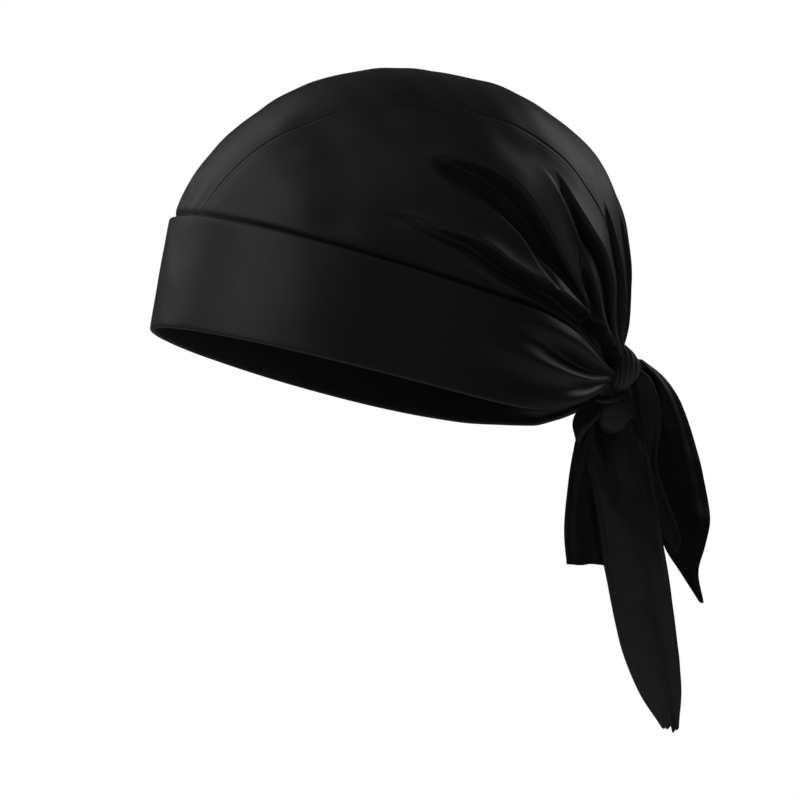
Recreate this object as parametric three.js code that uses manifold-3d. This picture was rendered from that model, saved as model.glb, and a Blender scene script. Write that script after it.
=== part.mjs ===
// A satin cap with a folded brow band, gathered into a knot at the nape, with three loose tails.
// Millimetres, +Z up. The brow faces -Y, the knot +Y and the wearer's left side +X.
// The origin is the middle of the rim. The cap is shown as worn, its brow raised by browTilt.
import * as THREE from 'three';
import { mergeVertices } from 'three/addons/utils/BufferGeometryUtils.js';
import Module from 'manifold-3d';

const solids = await Module();
solids.setup();

// The head opening and the band round it.
const rimHalfLength = 103.5; // from the middle to the outside of the band at the brow
const rimHalfWidth = 80.5; // the same at the ears
const bandHeight = 49; // at the brow
const bandWall = 2; // the folded band, two layers of cloth
const bandFlare = 4; // how far the band leans out at the top of the brow
const browTilt = 14.5; // degrees

// The crown.
const crownHeight = 146; // from the rim's plane to the top
const crownWall = 1.2;
const crownPower = 2.25; // how square the crown's outline is: 2 is an ellipse
const crownLean = 7; // how far the top lies behind the middle of the base
const napeBulge = 3; // how far the crown stands out over the knot
const hemDepth = 6; // the crown's hem reaches this far down inside the band
const fitGap = 0.3; // clearance between pieces that touch
const hemGap = 0.7; // clearance between the crown's hem and the band
const hemRise = 0.9; // how far the hem stands above the band's edge behind the ears
const knotRise = 1.6; // the same beside the knot, where the cloth turns out
const seamAngle = 50; // degrees round the neck where the seam of the middle panel starts
const hemAngle = 0; // the same for the lowest line of the crown
const pleatOpening = 42; // how far from the knot the pleats have opened

// The knot, which sits on the neck of gathered cloth.
const neckRadius = 8;
const wrapLength = 14.5; // the upper wrap, along the neck
const wrapRadius = 10.6;
const strandDepth = 0.9; // the grooves between the strands of the upper wrap
const cuffLength = 26; // the lower wrap, front to back
const cuffHeight = 21;
const cuffWidth = 17;
const cuffForward = 9; // the lower wrap's middle lies this far in front of the upper one's
const cuffNestle = 1; // and its top this far above the upper one's bottom

// The tails, as they hang.
const tailWall = 1.4;
const longTailDrop = 141;
const longTailWidth = 28;
const wideTailDrop = 110;
const wideTailWidth = 31;
const layerDrop = 74; // the loose inner edge of the wide tail
const shortTailDrop = 67;
const shortTailWidth = 30;

const degrees = Math.PI / 180;
const neckBack = rimHalfLength; // the neck's place behind the middle of the rim
const neckRise = 0.755 * bandHeight;
const baseCentre = 4; // the plan's widest line lies this far behind the middle
const frontReach = rimHalfLength + baseCentre;
const backReach = rimHalfLength - baseCentre;

const satin = (name, color) =>
  new THREE.MeshStandardMaterial({ name, color, roughness: 0.42, metalness: 0 });

// Smooth helpers.
const mix = (a, b, share) => a + (b - a) * share;
const ease = (low, high, value) => {
  const share = Math.min(1, Math.max(0, (value - low) / (high - low)));
  return share * share * (3 - 2 * share);
};

// Reads one column of a table at a place between its rows, as a smooth curve through them.
function follow(table, column, place) {
  const last = table.length - 1;
  if (place <= table[0].at) return table[0][column];
  if (place >= table[last].at) return table[last][column];
  const i = table.findIndex((row) => row.at > place) - 1;
  const slope = (k) => {
    const before = table[Math.max(0, k - 1)];
    const after = table[Math.min(last, k + 1)];
    return (after[column] - before[column]) / (after.at - before.at);
  };
  const span = table[i + 1].at - table[i].at;
  const u = (place - table[i].at) / span;
  const rise = u * u * (3 - 2 * u);
  const start = u * (1 - u) * (1 - u) * span * slope(i);
  const end = u * u * (u - 1) * span * slope(i + 1);
  return mix(table[i][column], table[i + 1][column], rise) + start + end;
}

// Edges of the band round the head, as shares of bandHeight: at is degrees from the brow, low is
// the lower edge on the left, right the lower edge on the right, and high the upper edge.
const bandEdges = [
  { at: 0, low: 0, right: 0, high: 1 },
  { at: 45, low: 0, right: 0, high: 0.965 },
  { at: 90, low: 0, right: 0, high: 0.905 },
  { at: 120, low: 0.045, right: 0, high: 0.885 },
  { at: 135, low: 0.14, right: 0.04, high: 0.83 },
  { at: 150, low: 0.315, right: 0.17, high: 0.73 },
  { at: 163, low: 0.5, right: 0.38, high: 0.69 },
  { at: 180, low: 0.6, right: 0.56, high: 0.68 },
];

// The plan of the cap: an ellipse at the brow and the sides, a little pointed towards the knot.
function planPoint(round, inset, lean = 0) {
  const side = Math.sin(round);
  const along = -Math.cos(round);
  const power = along > 0 ? 1.8 : 2;
  const radius = (Math.abs(side) ** power + Math.abs(along) ** power) ** (-1 / power);
  const half = along > 0 ? backReach : frontReach + lean;
  return {
    x: side * radius * (rimHalfWidth - inset),
    y: baseCentre + along * radius * (half - inset),
  };
}

const bandEnd = 174.6; // degrees from the brow to the band's end at the neck
const neckLow = 0.683; // the band's top edge at the neck, a share of bandHeight

// The gathers of the band beside the knot: at is the share up the band, height and width are
// shares of bandHeight, from is the angle where each one fades.
const bandGathers = [
  { at: 0.12, height: 0.12, width: 0.18, from: 126 },
  { at: 0.34, height: -0.16, width: 0.13, from: 134 },
  { at: 0.56, height: 0.2, width: 0.17, from: 112 },
  { at: 0.82, height: -0.14, width: 0.14, from: 132 },
];

// A point on the outside of the band: round is degrees from the brow to the left end.
function bandSurface(round, up) {
  const turn = Math.abs(round);
  const low = follow(bandEdges, round < 0 ? 'right' : 'low', turn);
  const high = follow(bandEdges, 'high', turn);
  let out = 0;
  for (const gather of bandGathers) {
    const across = (up - gather.at) / gather.width;
    const along = ease(gather.from, 158, turn) * (1 - ease(158, 176, turn));
    out += gather.height * along * Math.exp(-across * across);
  }
  out *= bandHeight * (high - low);
  const lean = bandFlare * up * Math.max(0, Math.cos(round * degrees));
  const plan = planPoint(round * degrees, -out, lean);
  const neck = planPoint(bandEnd * degrees, 0);
  const pull = ease(146, bandEnd, turn);
  const side = Math.sign(round || 1);
  return new THREE.Vector3(
    mix(plan.x, side * neck.x * Math.sin(up * 80 * degrees), pull),
    mix(plan.y, neckBack, pull),
    mix(mix(low, high, up) * bandHeight, mix(neckRise - neckRadius, neckLow * bandHeight, up), pull),
  );
}

// The lines of the crown fan out of the neck. at is where a line leaves the neck, in degrees
// from level, and rim is where it meets the band, in degrees from the brow.
const fanLines = [
  { at: 0, rim: 171, bow: 0.3 },
  { at: 2.5, rim: 150, bow: 0.31 },
  { at: 5, rim: 125, bow: 0.33 },
  { at: 8, rim: 98, bow: 0.38 },
  { at: 12, rim: 72, bow: 0.46 },
  { at: 17, rim: 47, bow: 0.55 },
  { at: 34, rim: 31, bow: 0.45 },
  { at: 47, rim: 21, bow: 0.4 },
  { at: 68, rim: 9, bow: 0.34 },
  { at: 90, rim: 0, bow: 0.33 },
];

// The pleats: at is the line that each ridge or trough runs along, height is a share of
// crownHeight, lower and upper are its half widths in degrees, from and reach its two ends
// as shares of the line.
const pleats = [
  { at: 6.5, height: 0.022, lower: 2, upper: 2.5, from: 0.2, reach: 0.7 },
  { at: 11, height: -0.035, lower: 2.5, upper: 3, from: 0, reach: 0.8 },
  { at: 16.5, height: 0.055, lower: 3, upper: 8, from: 0, reach: 0.85 },
  { at: 26, height: -0.06, lower: 5, upper: 4.5, from: 0.04, reach: 0.78 },
  { at: 34, height: 0.055, lower: 4.5, upper: 6, from: 0, reach: 0.8 },
  { at: 41, height: -0.035, lower: 4, upper: 4, from: 0, reach: 0.55 },
  { at: 47, height: 0.045, lower: 4, upper: 3.5, from: 0, reach: 0.62 },
  { at: 53, height: -0.045, lower: 4, upper: 3.5, from: 0, reach: 0.55 },
  { at: 60, height: 0.04, lower: 4, upper: 5, from: 0, reach: 0.52 },
  { at: 67, height: -0.04, lower: 4, upper: 4, from: 0, reach: 0.48 },
  { at: 75, height: 0.03, lower: 5, upper: 5, from: 0, reach: 0.46 },
  { at: 83, height: -0.035, lower: 4, upper: 4, from: 0, reach: 0.4 },
  { at: 91, height: 0.03, lower: 5, upper: 5, from: 0, reach: 0.44 },
];

// The right side carries the same pleats, moved a little so that it isn't a mirror image.
const rightShift = 3;
const allPleats = [
  ...pleats,
  ...pleats.slice(0, -1).map((pleat) => ({
    ...pleat,
    at: 180 - pleat.at + (pleat.at > 40 ? rightShift : 0),
    lower: pleat.upper,
    upper: pleat.lower,
  })),
];

// The crown as a disc: its middle is the top, its edge the hem, and (0, 1) the knot.
const middle = new THREE.Vector2(0, 0);
function discLine(angle, share) {
  const mirrored = angle > 90;
  const at = mirrored ? 180 - angle : angle;
  const rim = follow(fanLines, 'rim', at) * degrees;
  const bow = follow(fanLines, 'bow', at);
  const wide = Math.cos(at * degrees) / rimHalfWidth;
  const tall = -Math.sin(at * degrees) / (crownHeight * 1.15);
  const size = Math.hypot(wide, tall);
  const start = new THREE.Vector2(0, 1 + tall * neckRadius).rotateAround(middle, -wide * neckRadius);
  const end = new THREE.Vector2(Math.sin(rim), -Math.cos(rim));
  const chord = start.distanceTo(end);
  const inward = 90 * degrees * Math.exp(-rim / (55 * degrees));
  const back = new THREE.Vector2(Math.cos(rim + inward), Math.sin(rim + inward));
  const first = new THREE.Vector2(wide, tall).multiplyScalar((bow * chord) / size);
  first.rotateAround(middle, -wide * neckRadius).add(start);
  const second = back.multiplyScalar(0.34 * chord).add(end);
  const spot = new THREE.CubicBezierCurve(start, first, second, end).getPoint(share);
  return mirrored ? spot.set(-spot.x, spot.y) : spot;
}

// A point on the outside of the crown, on the line that leaves the neck at angle.
function crownSurface(angle, share) {
  const spot = discLine(angle, share);
  const round = Math.atan2(spot.x, -spot.y);
  const turn = Math.abs(round) / degrees;
  const behind = ease(120, 175, turn);
  const above = mix(hemRise, knotRise, ease(148, 164, turn));
  const sunk = mix(hemDepth, -above, ease(112, 134, turn));
  const base = follow(bandEdges, 'high', turn) * bandHeight - sunk;
  const lift = (1 - spot.length()) * 90 * degrees;
  const square = Math.abs(Math.cos(lift)) ** crownPower + Math.abs(Math.sin(lift)) ** crownPower;
  const swell = square ** (-1 / crownPower);
  const level = Math.cos(lift) * swell;
  const rise = Math.sin(lift) * swell;
  const lean = bandFlare * (base / bandHeight) * Math.max(0, Math.cos(round));
  const plan = planPoint(round, bandWall + hemGap, lean);
  const point = new THREE.Vector3(
    plan.x * level,
    baseCentre + crownLean * rise + (plan.y - baseCentre) * level,
    base + (crownHeight - base) * rise,
  );
  point.y += napeBulge * behind * ease(0, 0.22, rise) * level;
  // The cloth turns out to run into the knot.
  const away = Math.hypot(point.x, point.z - neckRise) - neckRadius;
  point.y += (neckBack - point.y) * behind * Math.exp(-Math.max(0, away) / 3.5);
  // The pleats stand out square to the dome. They are small at the neck and at the hem.
  const out = new THREE.Vector3(
    point.x / rimHalfWidth ** 2,
    (point.y - baseCentre) / rimHalfLength ** 2,
    (point.z - base) / (crownHeight - base) ** 2,
  ).normalize();
  let height = 0;
  for (const pleat of allPleats) {
    const off = angle - pleat.at;
    const across = off / (off < 0 ? pleat.lower : pleat.upper);
    const fade = 1 - ease(pleat.reach * 0.5, pleat.reach, share);
    const along = ease(pleat.from - 0.01, pleat.from + 0.2, share) * fade;
    height += pleat.height * along * Math.exp(-across * across);
  }
  const held = ease(0, mix(16, 5, behind), point.z - base);
  const open = 1 - Math.exp(-((away / pleatOpening) ** 2));
  return point.addScaledVector(out, height * crownHeight * held * open);
}

// A closed wall between two grids of points with the same rows and columns.
function wallBetween(outer, inner) {
  const rows = outer.length;
  const columns = outer[0].length;
  const positions = [...outer, ...inner].flat().flatMap((point) => point.toArray());
  const at = (row, column, layer) => (layer * rows + row) * columns + column;
  const index = [];
  const quad = (a, b, c, d) => index.push(a, b, c, a, c, d);
  for (let i = 0; i < rows - 1; i++) {
    for (let j = 0; j < columns - 1; j++) {
      quad(at(i, j, 0), at(i + 1, j, 0), at(i + 1, j + 1, 0), at(i, j + 1, 0));
      quad(at(i, j, 1), at(i, j + 1, 1), at(i + 1, j + 1, 1), at(i + 1, j, 1));
    }
  }
  for (let i = 0; i < rows - 1; i++) {
    quad(at(i, 0, 0), at(i, 0, 1), at(i + 1, 0, 1), at(i + 1, 0, 0));
    quad(at(i, columns - 1, 0), at(i + 1, columns - 1, 0), at(i + 1, columns - 1, 1), at(i, columns - 1, 1));
  }
  for (let j = 0; j < columns - 1; j++) {
    quad(at(0, j, 0), at(0, j + 1, 0), at(0, j + 1, 1), at(0, j, 1));
    quad(at(rows - 1, j, 0), at(rows - 1, j, 1), at(rows - 1, j + 1, 1), at(rows - 1, j + 1, 0));
  }
  const geometry = new THREE.BufferGeometry();
  geometry.setAttribute('position', new THREE.Float32BufferAttribute(positions, 3));
  geometry.setIndex(index);
  geometry.computeVertexNormals();
  return geometry;
}

// A wall of even thickness under a surface given by a function of two numbers.
function surfaceWall(surface, rowPlaces, columnPlaces, wall) {
  const step = 1e-3;
  const outer = [];
  const inner = [];
  for (const i of rowPlaces) {
    outer.push([]);
    inner.push([]);
    for (const j of columnPlaces) {
      const point = surface(i, j);
      const first = surface(i + step, j).sub(surface(i - step, j));
      const second = surface(i, j + step).sub(surface(i, j - step));
      const normal = first.cross(second).normalize();
      outer.at(-1).push(point);
      inner.at(-1).push(point.clone().addScaledVector(normal, -wall));
    }
  }
  return wallBetween(outer, inner);
}

// The same for a piece of the cap, whose surface is given in its own level frame.
const clothWall = (surface, rowPlaces, columnPlaces, wall) =>
  surfaceWall(surface, rowPlaces, columnPlaces, wall).rotateX(-browTilt * degrees);

// Evenly spaced numbers from low to high.
const spread = (low, high, count) => Array.from({ length: count + 1 }, (_, i) => mix(low, high, i / count));

// One closed solid of a mesh, and a mesh of a solid.
function solidOf(geometry) {
  const plain = geometry.clone();
  plain.deleteAttribute('normal');
  plain.deleteAttribute('uv');
  const merged = mergeVertices(plain, 1e-4);
  return new solids.Manifold(
    new solids.Mesh({
      numProp: 3,
      vertProperties: new Float32Array(merged.attributes.position.array),
      triVerts: new Uint32Array(merged.index.array),
    }),
  );
}

function meshOf(solid) {
  const { vertProperties, triVerts } = solid.getMesh();
  const geometry = new THREE.BufferGeometry();
  geometry.setAttribute('position', new THREE.Float32BufferAttribute(vertProperties, 3));
  geometry.setIndex(new THREE.Uint32BufferAttribute(triVerts, 1));
  geometry.computeVertexNormals();
  return geometry;
}

// A piece cut back by the space that its neighbour takes up. Loose offcuts are dropped.
function cleared(geometry, space) {
  const pieces = solidOf(geometry).subtract(space).decompose();
  return meshOf(pieces.reduce((best, piece) => (piece.volume() > best.volume() ? piece : best)));
}

// A panel of the crown between two lines, which stays half of fitGap away from each seam.
function crownPanel(low, high, lines, rows) {
  const edge = (angle, share, side) => {
    const width = crownSurface(angle + 0.5, share).distanceTo(crownSurface(angle - 0.5, share));
    return angle + (side * fitGap) / 2 / width;
  };
  const surface = (across, share) => {
    const start = low > hemAngle ? edge(low, share, 1) : low;
    const end = high < 180 - hemAngle ? edge(high, share, -1) : high;
    return crownSurface(mix(start, end, across), share);
  };
  const shares = spread(0, 1, rows).map((share) => share ** 1.2);
  return cleared(clothWall(surface, spread(0, 1, lines), shares, crownWall), knotSpace);
}

// The strands of the upper wrap, as a profile turned round the neck. Its front face seats on the cloth's end.
function wrapGeometry(grow) {
  const strands = 4;
  const steps = 5;
  const profile = [new THREE.Vector2(0, -grow)];
  for (let i = 0; i <= strands * steps; i++) {
    const along = i / (strands * steps);
    const groove = strandDepth * Math.abs(Math.cos(along * strands * Math.PI)) ** 3;
    const barrel = 1 - 0.16 * Math.abs(2 * along - 1) ** 3;
    profile.push(new THREE.Vector2(wrapRadius * barrel - groove + grow, mix(-grow, wrapLength + grow, along)));
  }
  profile.push(new THREE.Vector2(0, wrapLength + grow));
  const geometry = new THREE.LatheGeometry(profile, 20);
  geometry.translate(0, neckBack + fitGap, 0);
  geometry.scale(0.92, 1, 1);
  geometry.translate(0, 0, neckRise);
  return geometry.rotateX(-browTilt * degrees);
}

// A rounded cushion-like form along Y, with flattened sides.
function roundForm(width, length, height, rings, sides) {
  const outline = [];
  for (let i = 0; i <= rings; i++) {
    const turn = mix(-90, 90, i / rings) * degrees;
    const across = Math.abs(Math.cos(turn)) ** 0.7;
    outline.push(new THREE.Vector2(i === 0 || i === rings ? 0 : across / 2, (Math.sin(turn) * length) / 2));
  }
  const geometry = new THREE.LatheGeometry(outline, sides);
  return geometry.scale(width, 1, height);
}

// The middle of the upper wrap in the worn frame.
const tilt = browTilt * degrees;
const knotBack = (neckBack + wrapLength / 2) * Math.cos(tilt) + neckRise * Math.sin(tilt);
const knotLevel = neckRise * Math.cos(tilt) - (neckBack + wrapLength / 2) * Math.sin(tilt);

// The lower wrap, level in the worn frame, under the upper one.
const cuffBack = knotBack - cuffForward;
const cuffDrop = knotLevel - wrapRadius - cuffHeight / 2 + cuffNestle;
const tailBack = cuffBack + 1; // where the tails' edges are measured from
function cuffGeometry(grow) {
  const form = roundForm(cuffWidth + 2 * grow, cuffLength + 2 * grow, cuffHeight + 2 * grow, 12, 16);
  return form.rotateX(4 * degrees).translate(1, cuffBack, cuffDrop);
}

// The tails hang from the knot. at is how far down a row lies, front and back are its two edges
// behind tailBack, side is how far it stands to the left, all as shares of the tail's drop and
// width, and turn is how far the front edge stands out to the left of the back one.
const longTail = {
  top: cuffDrop,
  drop: longTailDrop,
  width: longTailWidth,
  rows: [
    { at: 0, front: -0.37, back: 0.3, side: 0.04, turn: 0 },
    { at: 0.08, front: -0.46, back: 0.48, side: 0.08, turn: -0.08 },
    { at: 0.27, front: -0.28, back: 0.69, side: 0.14, turn: -0.22 },
    { at: 0.5, front: -0.1, back: 0.87, side: 0.2, turn: -0.32 },
    { at: 0.73, front: 0.13, back: 1.02, side: 0.24, turn: -0.36 },
    { at: 0.88, front: 0.42, back: 1.08, side: 0.25, turn: -0.28 },
    { at: 1, front: 0.79, back: 1.05, side: 0.24, turn: -0.15 },
  ],
};
const wideTail = {
  top: knotLevel + 6,
  drop: wideTailDrop,
  width: wideTailWidth,
  rows: [
    { at: 0, front: 0.38, back: 0.6, side: -0.08, turn: 0 },
    { at: 0.07, front: 0.42, back: 0.97, side: -0.12, turn: 0.1 },
    { at: 0.17, front: 0.46, back: 1.22, side: -0.2, turn: 0.26 },
    { at: 0.32, front: 0.55, back: 1.4, side: -0.28, turn: 0.36 },
    { at: 0.52, front: 0.66, back: 1.57, side: -0.33, turn: 0.34 },
    { at: 0.65, front: 0.76, back: 1.62, side: -0.33, turn: 0.26 },
    { at: 0.77, front: 0.87, back: 1.52, side: -0.31, turn: 0.18 },
    { at: 0.875, front: 1.12, back: 1.41, side: -0.29, turn: 0.1 },
    { at: 1, front: 1.41, back: 1.47, side: -0.28, turn: 0.02 },
  ],
};
const innerLayer = {
  top: knotLevel - 4,
  drop: layerDrop,
  width: wideTailWidth,
  rows: [
    { at: 0, front: 0.44, back: 0.75, side: 0.06, turn: 0 },
    { at: 0.2, front: 0.58, back: 0.98, side: 0.05, turn: 0.08 },
    { at: 0.5, front: 0.66, back: 1.14, side: 0.03, turn: 0.14 },
    { at: 0.8, front: 0.8, back: 1.18, side: 0.01, turn: 0.1 },
    { at: 1, front: 1.03, back: 1.1, side: 0, turn: 0.02 },
  ],
};
const shortTail = {
  top: cuffDrop,
  drop: shortTailDrop,
  width: shortTailWidth,
  rows: [
    { at: 0, front: -0.4, back: 0.2, side: -0.08, turn: 0 },
    { at: 0.22, front: -0.45, back: 0.28, side: -0.16, turn: 0.1 },
    { at: 0.5, front: -0.57, back: 0.36, side: -0.22, turn: 0.26 },
    { at: 0.75, front: -0.62, back: 0.4, side: -0.24, turn: 0.26 },
    { at: 1, front: -0.58, back: 0.42, side: -0.24, turn: 0.2 },
  ],
};

// A tail's surface faces the left. Its middle stands out a little, as hanging cloth does.
function tailGeometry(tail, rows) {
  const surface = (down, across) => {
    const front = follow(tail.rows, 'front', down);
    const back = follow(tail.rows, 'back', down);
    const turn = follow(tail.rows, 'turn', down);
    const cup = 0.07 * Math.sin(across * Math.PI) * Math.min(1, 4 * (1 - down) + 0.3);
    return new THREE.Vector3(
      (follow(tail.rows, 'side', down) + turn * (0.5 - across) + cup) * tail.width,
      tailBack + mix(front, back, across) * tail.width,
      tail.top - down * tail.drop,
    );
  };
  return surfaceWall(surface, spread(0, 1, rows), spread(0, 1, 6), tailWall);
}

const durag = new THREE.Group();
durag.name = 'durag';
function add(name, geometry, color) {
  const mesh = new THREE.Mesh(geometry, satin(name, color));
  mesh.name = name;
  durag.add(mesh);
}

// The knot's own forms, a little larger, cut the other pieces off where they run into it.
const knotSpace = solidOf(wrapGeometry(fitGap)).add(solidOf(cuffGeometry(fitGap)));

const band = clothWall(bandSurface, spread(-bandEnd, bandEnd, 60), spread(0, 1, 7), bandWall);

add('crown_left_panel', crownPanel(hemAngle, seamAngle, 21, 18), 0x14151a);
add('crown_center_panel', crownPanel(seamAngle, 180 - seamAngle, 26, 18), 0x17181d);
add('crown_right_panel', crownPanel(180 - seamAngle, 180 - hemAngle, 21, 18), 0x14151a);
add('brow_band', cleared(band, knotSpace), 0x121318);
add('knot_upper_wrap', wrapGeometry(0), 0x15161b);
add('knot_lower_wrap', cuffGeometry(0), 0x15161b);
add('long_tail', cleared(tailGeometry(longTail, 18), knotSpace), 0x17181d);
add('wide_tail', cleared(tailGeometry(wideTail, 18), knotSpace), 0x121318);
add('wide_tail_inner_layer', cleared(tailGeometry(innerLayer, 10), knotSpace), 0x121318);
add('short_tail', cleared(tailGeometry(shortTail, 10), knotSpace), 0x101116);

export default durag;
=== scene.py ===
import bpy
import math
import numpy as np
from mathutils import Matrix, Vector


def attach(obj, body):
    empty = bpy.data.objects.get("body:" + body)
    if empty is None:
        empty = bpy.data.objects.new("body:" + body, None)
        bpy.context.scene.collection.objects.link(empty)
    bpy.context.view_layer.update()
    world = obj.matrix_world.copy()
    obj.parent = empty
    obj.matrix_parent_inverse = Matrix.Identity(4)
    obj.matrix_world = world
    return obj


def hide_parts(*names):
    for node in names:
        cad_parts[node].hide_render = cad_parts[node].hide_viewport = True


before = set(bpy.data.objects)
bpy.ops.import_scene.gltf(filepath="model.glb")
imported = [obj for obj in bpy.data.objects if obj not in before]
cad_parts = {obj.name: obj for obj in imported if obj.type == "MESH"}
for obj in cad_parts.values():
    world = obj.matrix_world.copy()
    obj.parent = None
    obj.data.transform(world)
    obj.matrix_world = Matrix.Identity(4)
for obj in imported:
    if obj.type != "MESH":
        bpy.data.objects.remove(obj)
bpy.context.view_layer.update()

# Lengths are in millimetres in the level frame of the cap, and mm turns them into metres.
mm = 0.001
browTilt = math.radians(14.5)  # the brow is raised by this much as the cap is worn

# The form that crown and band share. crownPower says how square the dome is, and the bulges how
# far it swells past that behind and ahead. hemDepth is how far the crown reaches down inside the
# band at the brow and hemBehind behind the ears, and inset is how far it lies in from the band's
# outside. The neck is the gathered cloth that enters the knot.
cap = {
    "halfLength": 103.5, "halfWidth": 80.5, "centre": 4.0,
    "bandHeight": 49.0, "bandWall": 2.2, "bandFlare": 4.0, "bandEnd": 174.6,
    "crownHeight": 146.0, "crownLean": 8.0, "crownPower": 2.25, "napeBulge": 3.6, "browBulge": 2.4,
    "hemDepth": 6.0, "hemBehind": 2.2, "inset": 2.7,
    "neckRadius": 8.0, "neckRise": 37.0, "neckFlare": 3.5,
}


def mix(a, b, share):
    return a + (b - a) * share


def ease(low, high, value):
    share = np.clip((np.asarray(value, float) - low) / (high - low), 0, 1)
    return share * share * (3 - 2 * share)


def follow(table, column, place):  # one column of a table, as a smooth curve through its rows
    at = np.array([row["at"] for row in table], float)
    values = np.array([row[column] for row in table], float)
    slopes = np.gradient(values, at)
    slopes[1:-1] = (values[2:] - values[:-2]) / (at[2:] - at[:-2])
    place = np.clip(place, at[0], at[-1])
    i = np.clip(np.searchsorted(at, place, side="right") - 1, 0, len(at) - 2)
    span = at[i + 1] - at[i]
    u = (place - at[i]) / span
    rise = u * u * (3 - 2 * u)
    start = u * (1 - u) ** 2 * span * slopes[i]
    end = u * u * (u - 1) * span * slopes[i + 1]
    return mix(values[i], values[i + 1], rise) + start + end


def unit(vectors):
    return vectors / np.maximum(np.linalg.norm(vectors, axis=-1, keepdims=True), 1e-9)


def normalsOf(points):  # of a grid of points, as its rows cross its columns
    across = np.gradient(points, axis=1)
    along = np.gradient(points, axis=0)
    return unit(np.cross(along, across))


def worn(points):  # from the cap's level frame to the frame as worn
    x, y, z = points[..., 0], points[..., 1], points[..., 2]
    c, s = math.cos(browTilt), math.sin(browTilt)
    return np.stack([x, c * y + s * z, -s * y + c * z], axis=-1)


def waves(points, length, count, seed):  # smooth unevenness of this wave length, about -1 to 1
    rng = np.random.default_rng(seed)
    total = np.zeros(points.shape[:-1])
    for _ in range(count):
        direction = unit(rng.normal(size=3))
        stretch = rng.uniform(0.7, 1.5)
        phase = rng.uniform(0, 2 * math.pi)
        total += np.sin(points @ direction * (2 * math.pi * stretch / length) + phase)
    return total / math.sqrt(count)


def deselectAll():
    if bpy.context.mode != "OBJECT":
        bpy.ops.object.mode_set(mode="OBJECT")
    bpy.ops.object.select_all(action="DESELECT")


def clothGrid(name, points, flat):  # a flat grid of cloth, moved point by point into its shape
    rows, columns = points.shape[:2]
    deselectAll()
    bpy.ops.mesh.primitive_grid_add(x_subdivisions=columns - 1, y_subdivisions=rows - 1, size=1)
    piece = bpy.context.object
    piece.name = name
    piece.data.name = name
    piece.data.vertices.foreach_set("co", (points.reshape(-1, 3) * mm).ravel())
    layer = piece.data.uv_layers.active
    uv = np.zeros(len(layer.data) * 2)
    layer.data.foreach_get("uv", uv)
    uv = uv.reshape(-1, 2) * (np.array(flat) * mm)  # the map is in metres of cloth
    layer.data.foreach_set("uv", uv.ravel())
    piece.data.update()
    return piece


def applyAll(piece):
    deselectAll()
    piece.select_set(True)
    bpy.context.view_layer.objects.active = piece
    for modifier in list(piece.modifiers):
        bpy.ops.object.modifier_apply(modifier=modifier.name)
    bpy.ops.object.shade_smooth()


clothWalls = {"crown": 0.8, "band": 0.5, "knot": 0.6, "tails": 0.9}


def giveWall(piece, wall, offset=-1):  # offset -1 builds the wall inwards, 0 to both sides
    solid = piece.modifiers.new("Wall", "SOLIDIFY")
    solid.thickness = wall * mm
    solid.offset = offset
    solid.use_even_offset = False
    solid.use_rim = True
    applyAll(piece)


def clothArea(points):  # of a grid of points, in square millimetres
    first = points[1:, 1:] - points[:-1, :-1]
    second = points[1:, :-1] - points[:-1, 1:]
    return float(np.linalg.norm(np.cross(first, second), axis=-1).sum() / 2)


def flatSize(points):  # how wide and how long the cloth of a grid lies flat
    widths = np.linalg.norm(np.diff(points, axis=1), axis=-1).sum(1)
    length = np.linalg.norm(np.diff(points, axis=0), axis=-1).sum(0).mean()
    return widths.max(), length


def dress(piece, node, material, flat):
    piece.data.materials.clear()
    piece.data.materials.append(material)
    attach(piece, "root")
    if node:
        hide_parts(node)
    flat = (flat[0] * mm, flat[1] * mm)


# Materials: a fine satin weave, its sheen and its small unevenness. The warp floats over many
# threads, so its noise is drawn out along it, and the weft's the other way.
weaveLook = {"drawn": 0.12, "weftShare": 0.35, "slubAcross": 0.05, "slubAlong": 0.004}


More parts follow.
